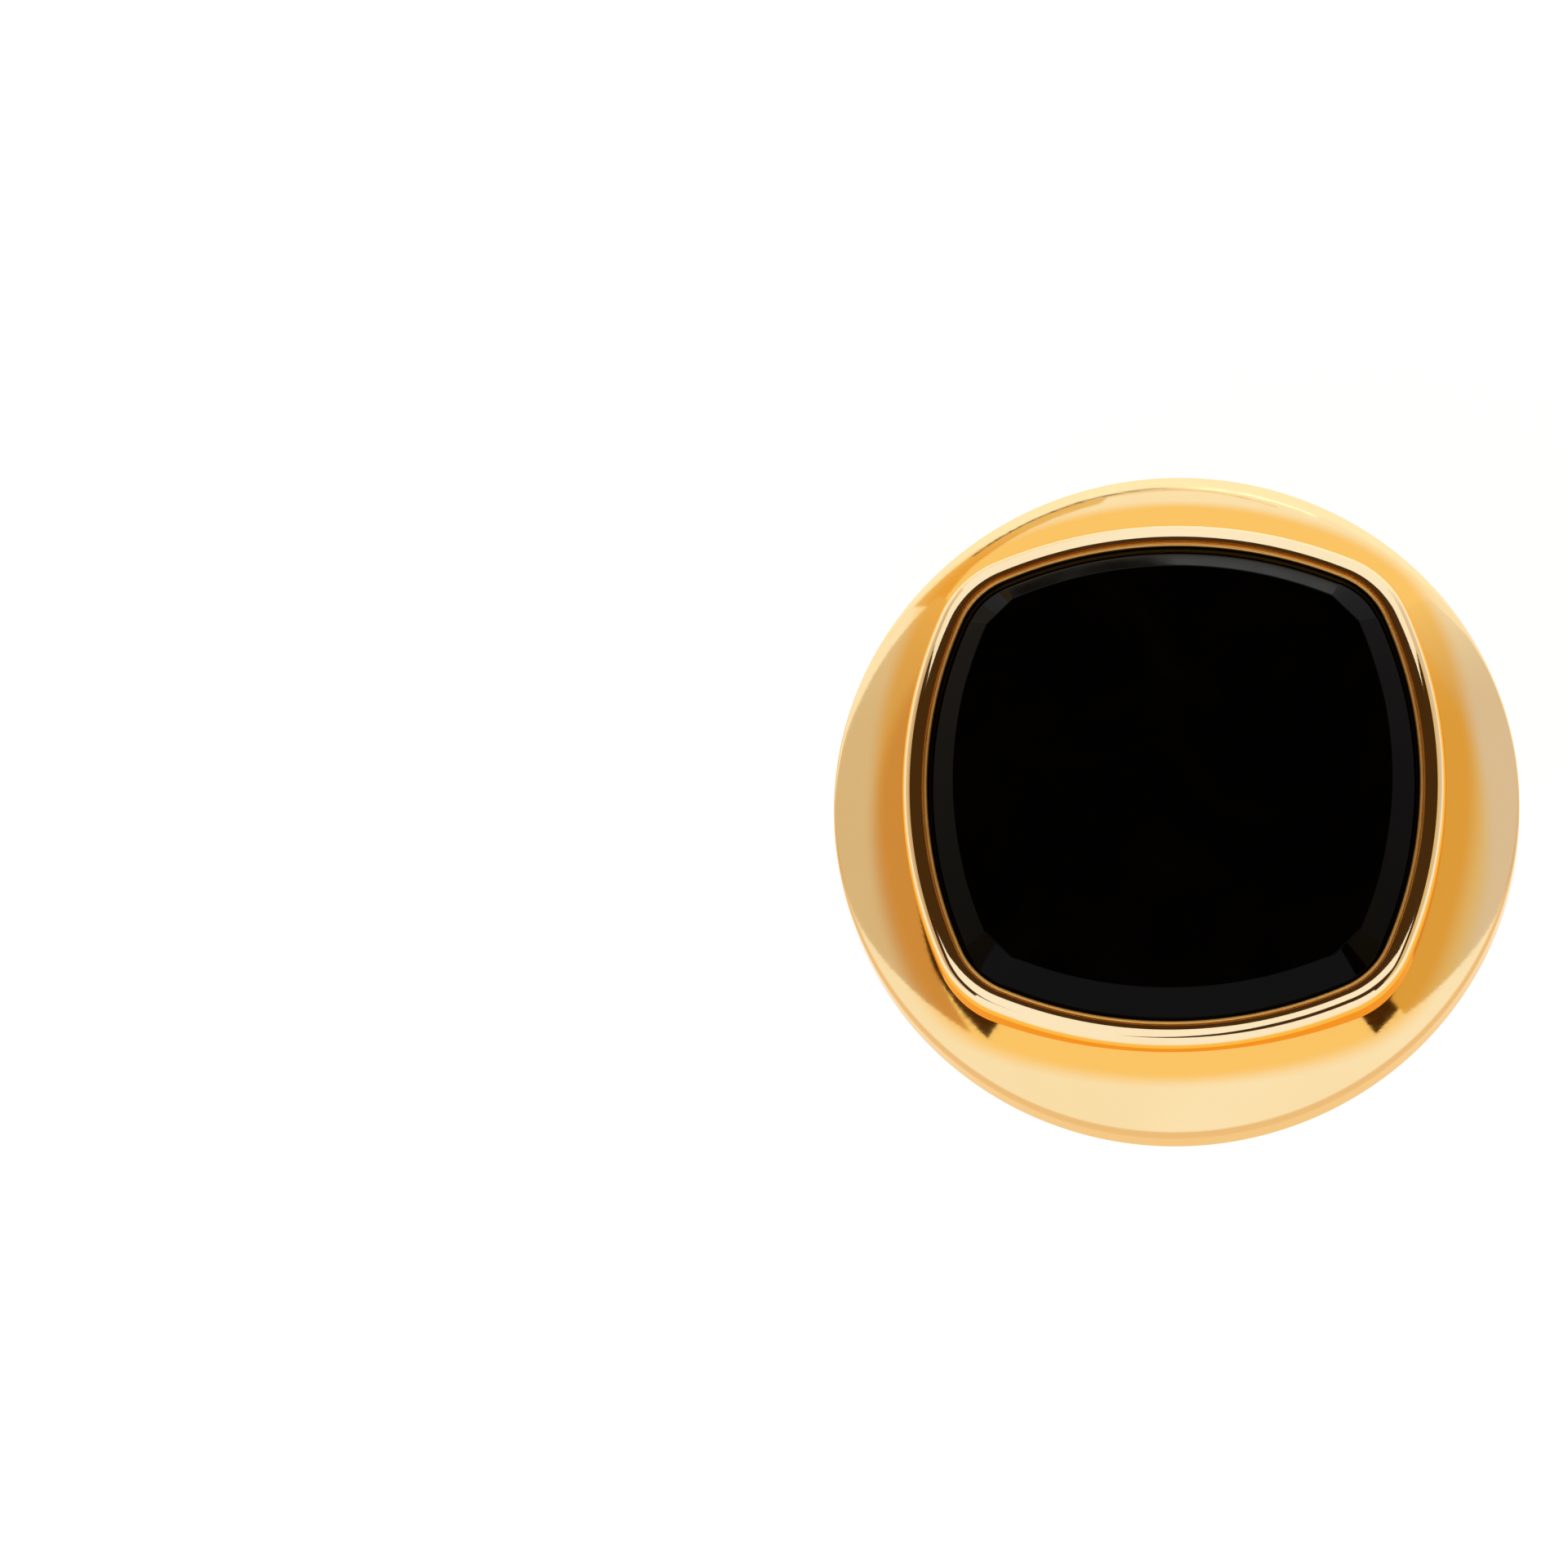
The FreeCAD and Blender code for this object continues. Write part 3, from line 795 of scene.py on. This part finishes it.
pin_shoulder = math.sqrt(bar_radius ** 2 - pin_radius ** 2)
pin_crown = bar_radius + pin_proud - pin_shoulder
pin_ball = (pin_radius ** 2 + pin_crown ** 2) / (2 * pin_crown)
pin_turn = math.degrees(math.asin(pin_radius / pin_ball))
pin_bm = bmesh.new()
start = pin_bm.verts.new((0.0, 0.0, pin_shoulder + pin_crown))
point = swing_on(pin_bm, start, 0.0, pin_shoulder + pin_crown - pin_ball, pin_turn, pin_crown_steps)
point = run_to(pin_bm, point, pin_radius, -pin_shoulder)
point = swing_on(pin_bm, point, 0.0, pin_ball - pin_shoulder - pin_crown, pin_turn, pin_crown_steps)
turn_round(pin_bm, (0, 0, 0), (0, 0, 1), pin_turn_steps)
across_bar = Matrix.Rotation(math.pi / 2, 3, "X")
bmesh.ops.rotate(pin_bm, cent=(0, 0, 0), matrix=across_bar, verts=pin_bm.verts)
bmesh.ops.translate(pin_bm, vec=(0, 0, -pivot_depth), verts=pin_bm.verts)
pin = set_down("pivot_pin", pin_bm, steel)
shade_with_creases(pin, fine_sharp_degrees)
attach(pin, "toggle")
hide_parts("hinge_pin")

# Spring
# A strip of spring steel in the floor of the bar, bowed up under the tongue so that the bar clicks
# square to the post. Its ends stand on the bore.
spring_half = 3.95
spring_half_width = 0.60
spring_thick = 0.15
spring_bow = 0.09
spring_lift = 0.01
spring_edge_break = 0.03
spring_steps = 48
spring_top = -math.sqrt(bore_radius ** 2 - spring_half_width ** 2) + spring_lift + spring_thick
spring_radius = (spring_half ** 2 + spring_bow ** 2) / (2 * spring_bow)
spring_turn = math.degrees(math.asin(spring_half / spring_radius))
spring_bm = bmesh.new()
end_top = spring_bm.verts.new((-spring_half, 0.0, spring_top - pivot_depth))
spring_centre_z = spring_top + spring_bow - spring_radius - pivot_depth
swing_on(spring_bm, end_top, 0.0, spring_centre_z, 2 * spring_turn, spring_steps)
spring_edges = spring_bm.edges[:]
bmesh.ops.translate(spring_bm, vec=(0, -spring_half_width, 0), verts=spring_bm.verts)
widened = bmesh.ops.extrude_edge_only(spring_bm, edges=spring_edges)
far_verts = [part for part in widened["geom"] if isinstance(part, bmesh.types.BMVert)]
bmesh.ops.translate(spring_bm, vec=(0, 2 * spring_half_width, 0), verts=far_verts)
thickened = bmesh.ops.extrude_face_region(spring_bm, geom=spring_bm.faces[:], use_keep_orig=True)
low_verts = [part for part in thickened["geom"] if isinstance(part, bmesh.types.BMVert)]
bmesh.ops.translate(spring_bm, vec=(0, 0, -spring_thick), verts=low_verts)
spring = set_down("bowed_spring", spring_bm, steel)
shade_with_creases(spring, fine_sharp_degrees)
break_edges(spring, spring_edge_break)
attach(spring, "toggle")
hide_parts("flat_spring")

# Floor
# A plain white table, lit from below like a sheet of opal acrylic, just under the reach of the
# bar when it is turned on end. From below it is clear, so the back of the head can be seen.
floor_gap = 0.1
floor_reach = 3.0
floor_z = (-pivot_depth - nose_x - bar_radius - floor_gap) * MM
floor_bm = bmesh.new()
bmesh.ops.create_grid(floor_bm, x_segments=1, y_segments=1, size=floor_reach)
bmesh.ops.translate(floor_bm, vec=(0, 0, floor_z), verts=floor_bm.verts)
floor_mesh = bpy.data.meshes.new("floor")
floor_bm.to_mesh(floor_mesh)
floor_bm.free()
floor = bpy.data.objects.new("floor", floor_mesh)
bpy.context.collection.objects.link(floor)
white_table = bpy.data.materials.new("white_table")
white_table.use_nodes = True
table_shader = white_table.node_tree.nodes["Principled BSDF"]
table_shader.inputs["Base Color"].default_value = (0.18, 0.18, 0.18, 1.0)
table_shader.inputs["Roughness"].default_value = 0.9
table_shader.inputs["Specular IOR Level"].default_value = 0.0
table_shader.inputs["Emission Color"].default_value = (1.0, 1.0, 1.0, 1.0)
table_shader.inputs["Emission Strength"].default_value = 0.90
table_nodes = white_table.node_tree.nodes
table_links = white_table.node_tree.links
table_side = table_nodes.new("ShaderNodeNewGeometry")
table_clear = table_nodes.new("ShaderNodeBsdfTransparent")
table_mix = table_nodes.new("ShaderNodeMixShader")
table_links.new(table_side.outputs["Backfacing"], table_mix.inputs["Fac"])
table_links.new(table_shader.outputs["BSDF"], table_mix.inputs[1])
table_links.new(table_clear.outputs["BSDF"], table_mix.inputs[2])
table_links.new(table_mix.outputs["Shader"], table_nodes["Material Output"].inputs["Surface"])
floor_mesh.materials.append(white_table)

# Light
# Glowing cards: a wide soft box over the front half, white cards in front and behind, a low white
# collar all round, two warm cards at the sides, and sheets and strips on the table behind, which
# the far edge of the dome and the stone mirror. The room above stays dark, which blackens the stone.
card_fade_up = (6.0, 13.0)
card_fade_back = (30.0, 90.0)
scene = bpy.context.scene
scene.view_settings.view_transform = "Standard"
room = bpy.data.worlds.new("room")
room.use_nodes = True
room_nodes = room.node_tree.nodes
room_links = room.node_tree.links
dark_walls = room_nodes["Background"]
dark_walls.inputs["Color"].default_value = (0.060, 0.028, 0.008, 1.0)
white_backdrop = room_nodes.new("ShaderNodeBackground")
white_backdrop.inputs["Color"].default_value = (1.0, 1.0, 1.0, 1.0)
seen = room_nodes.new("ShaderNodeLightPath")
walls = room_nodes.new("ShaderNodeMixShader")
room_links.new(seen.outputs["Is Camera Ray"], walls.inputs["Fac"])
room_links.new(dark_walls.outputs["Background"], walls.inputs[1])
room_links.new(white_backdrop.outputs["Background"], walls.inputs[2])
room_links.new(walls.outputs["Shader"], room_nodes["World Output"].inputs["Surface"])
scene.world = room


def hang_card(name, bm, colour, top_colour=None, back_colour=None, lights_table=True):
    """Hang a glowing card, drawn in millimetres, which the camera doesn't see. It can fade to
    another colour towards its top and to a third towards the back, and can be mirrored only."""
    paper = bpy.data.materials.new(name)
    paper.use_nodes = True
    nodes = paper.node_tree.nodes
    links = paper.node_tree.links
    nodes.remove(nodes["Principled BSDF"])
    lit = nodes.new("ShaderNodeEmission")
    lit.inputs["Color"].default_value = (*colour, 1.0)
    links.new(lit.outputs["Emission"], nodes["Material Output"].inputs["Surface"])
    if top_colour:
        place = nodes.new("ShaderNodeTexCoord")
        parts = nodes.new("ShaderNodeSeparateXYZ")
        links.new(place.outputs["Object"], parts.inputs["Vector"])
        to_top = nodes.new("ShaderNodeMix")
        to_top.data_type = "RGBA"
        to_top.inputs["A"].default_value = (*colour, 1.0)
        to_top.inputs["B"].default_value = (*top_colour, 1.0)
        links.new(soft_step(paper, parts.outputs["Z"], *card_fade_up), to_top.inputs["Factor"])
        to_back = nodes.new("ShaderNodeMix")
        to_back.data_type = "RGBA"
        links.new(to_top.outputs["Result"], to_back.inputs["A"])
        to_back.inputs["B"].default_value = (*back_colour, 1.0)
        links.new(soft_step(paper, parts.outputs["Y"], *card_fade_back), to_back.inputs["Factor"])
        links.new(to_back.outputs["Result"], lit.inputs["Color"])
    bmesh.ops.scale(bm, vec=(MM, MM, MM), verts=bm.verts)
    mesh = bpy.data.meshes.new(name)
    bm.to_mesh(mesh)
    bm.free()
    mesh.materials.append(paper)
    card = bpy.data.objects.new(name, mesh)
    card.visible_camera = False
    card.visible_diffuse = lights_table
    bpy.context.collection.objects.link(card)


def cut_card(axis, level, *corners):
    """A flat card square to an axis, at a level on it; corners give the other two coordinates."""
    bm = bmesh.new()
    points = []
    for corner in corners:
        place = list(corner)
        place.insert("xyz".index(axis), level)
        points.append(bm.verts.new(place))
    bm.faces.new(points)
    return bm


table_top = floor_z / MM
low_sheet_z = table_top + 0.1
mid_sheet_z = table_top + 0.2
strip_z = table_top + 0.3
over_z = 150.0
front_y = -80.0
back_y = 100.0
warm_y = 98.0
side_x = 60.0
side_foot_z = -12.0
collar_radius = 150.0
collar_top_z = 45.0
collar_steps = 96
white = (1.0, 1.0, 1.0)
bright_white = (1.12, 1.12, 1.12)
strip_white = (2.0, 1.95, 1.9)
strip_brown = (0.18, 0.14, 0.08)
amber = (0.86, 0.62, 0.26)
left_tint = (0.72, 0.62, 0.49)
left_top_tint = (0.64, 0.46, 0.30)
left_back_tint = (0.90, 0.75, 0.52)
right_tint = (0.72, 0.66, 0.65)
right_top_tint = (0.75, 0.59, 0.31)
hang_card("over_box", cut_card(
    "z", over_z, (-210, -90), (-95, -186), (-40, -186), (30, -100), (210, -84), (210, -10), (-210, -10),
), white)
hang_card("front_card", cut_card(
    "y", front_y, (-86, table_top), (86, table_top), (86, 55), (-12, 63.8), (-86, 66),
), white)
hang_card("back_card", cut_card(
    "y", back_y, (-150, table_top), (150, table_top), (150, 160), (-150, 160),
), white)
hang_card("back_sheet", cut_card(
    "z", low_sheet_z, (-58, 27), (59, 27), (59, 80), (-54, 82),
), bright_white)
hang_card("warm_sheet", cut_card(
    "z", mid_sheet_z, (-15, 81), (-60, 67), (-84, 98), (-21, 98),
), amber, lights_table=False)
hang_card("warm_card", cut_card(
    "y", warm_y, (-40, table_top), (-90, table_top), (-96, -4), (-62, -16.5),
), amber, lights_table=False)
hang_card("bright_strip", cut_card(
    "z", strip_z, (-6, 77.3), (11, 80.2), (28, 83.6), (28, 86), (11, 82.6), (3, 81.4),
), strip_white, lights_table=False)
hang_card("crest_strip", cut_card(
    "z", strip_z, (-16, 80), (-4, 83.2), (4, 86.2), (12, 91.5), (22, 97.6),
    (22, 99.6), (12, 94.5), (4, 89), (-4, 85.8), (-16, 82.6),
), amber, lights_table=False)
hang_card("dark_strip", cut_card(
    "z", strip_z, (-6, 77.3), (3, 81.4), (-15.5, 79), (-30, 77.8), (-46, 77.8),
    (-46, 74.6), (-30, 74.6), (-15.5, 75.8),
), strip_brown, lights_table=False)
hang_card("left_card", cut_card(
    "x", -side_x, (75, side_foot_z), (75, 23), (-10, 22), (-25, 20), (-50, 20.3), (6.5, -6),
), left_tint, left_top_tint, left_back_tint)
hang_card("right_card", cut_card(
    "x", side_x, (75, side_foot_z), (75, 23), (-43, 27), (-43, 18.8), (25, side_foot_z),
), right_tint, right_top_tint, white)
collar_bm = bmesh.new()
bmesh.ops.create_circle(collar_bm, segments=collar_steps, radius=collar_radius)
bmesh.ops.translate(collar_bm, vec=(0, 0, table_top), verts=collar_bm.verts)
raised = bmesh.ops.extrude_edge_only(collar_bm, edges=collar_bm.edges[:])
collar_edge = [part for part in raised["geom"] if isinstance(part, bmesh.types.BMVert)]
bmesh.ops.translate(collar_bm, vec=(0, 0, collar_top_z - table_top), verts=collar_edge)
hang_card("collar", collar_bm, white)

# Camera
# A long lens from above the front edge, a little to the right, as the photograph was taken. It
# aims past the left of the head, so the head stands to the right of the picture's middle.
tilt = math.radians(15.5)
lean = math.radians(6.5)
camera_distance = 0.300
frame_width = 0.04587
aim_left = 0.01148
aim_up = 0.00077
head_middle = Vector((0.0, 0.0, 0.0007))
backwards = Vector((
    math.sin(tilt) * math.sin(lean), -math.sin(tilt) * math.cos(lean), math.cos(tilt),
))
camera_data = bpy.data.cameras.new("camera")
camera_data.sensor_width = 36.0
camera_data.lens = camera_data.sensor_width * camera_distance / frame_width
camera_data.clip_start = 0.01
camera = bpy.data.objects.new("camera", camera_data)
bpy.context.collection.objects.link(camera)
stand = head_middle + backwards * camera_distance
up = (Vector((0, 1, 0)) - backwards * backwards.y).normalized()
right = up.cross(backwards)
aim = head_middle - right * aim_left + up * aim_up
look_back = (stand - aim).normalized()
look_up = (up - look_back * up.dot(look_back)).normalized()
look_right = look_up.cross(look_back)
facing = Matrix((look_right, look_up, look_back)).transposed()
camera.location = stand
camera.rotation_euler = facing.to_euler()
scene.camera = camera

bpy.context.view_layer.update()
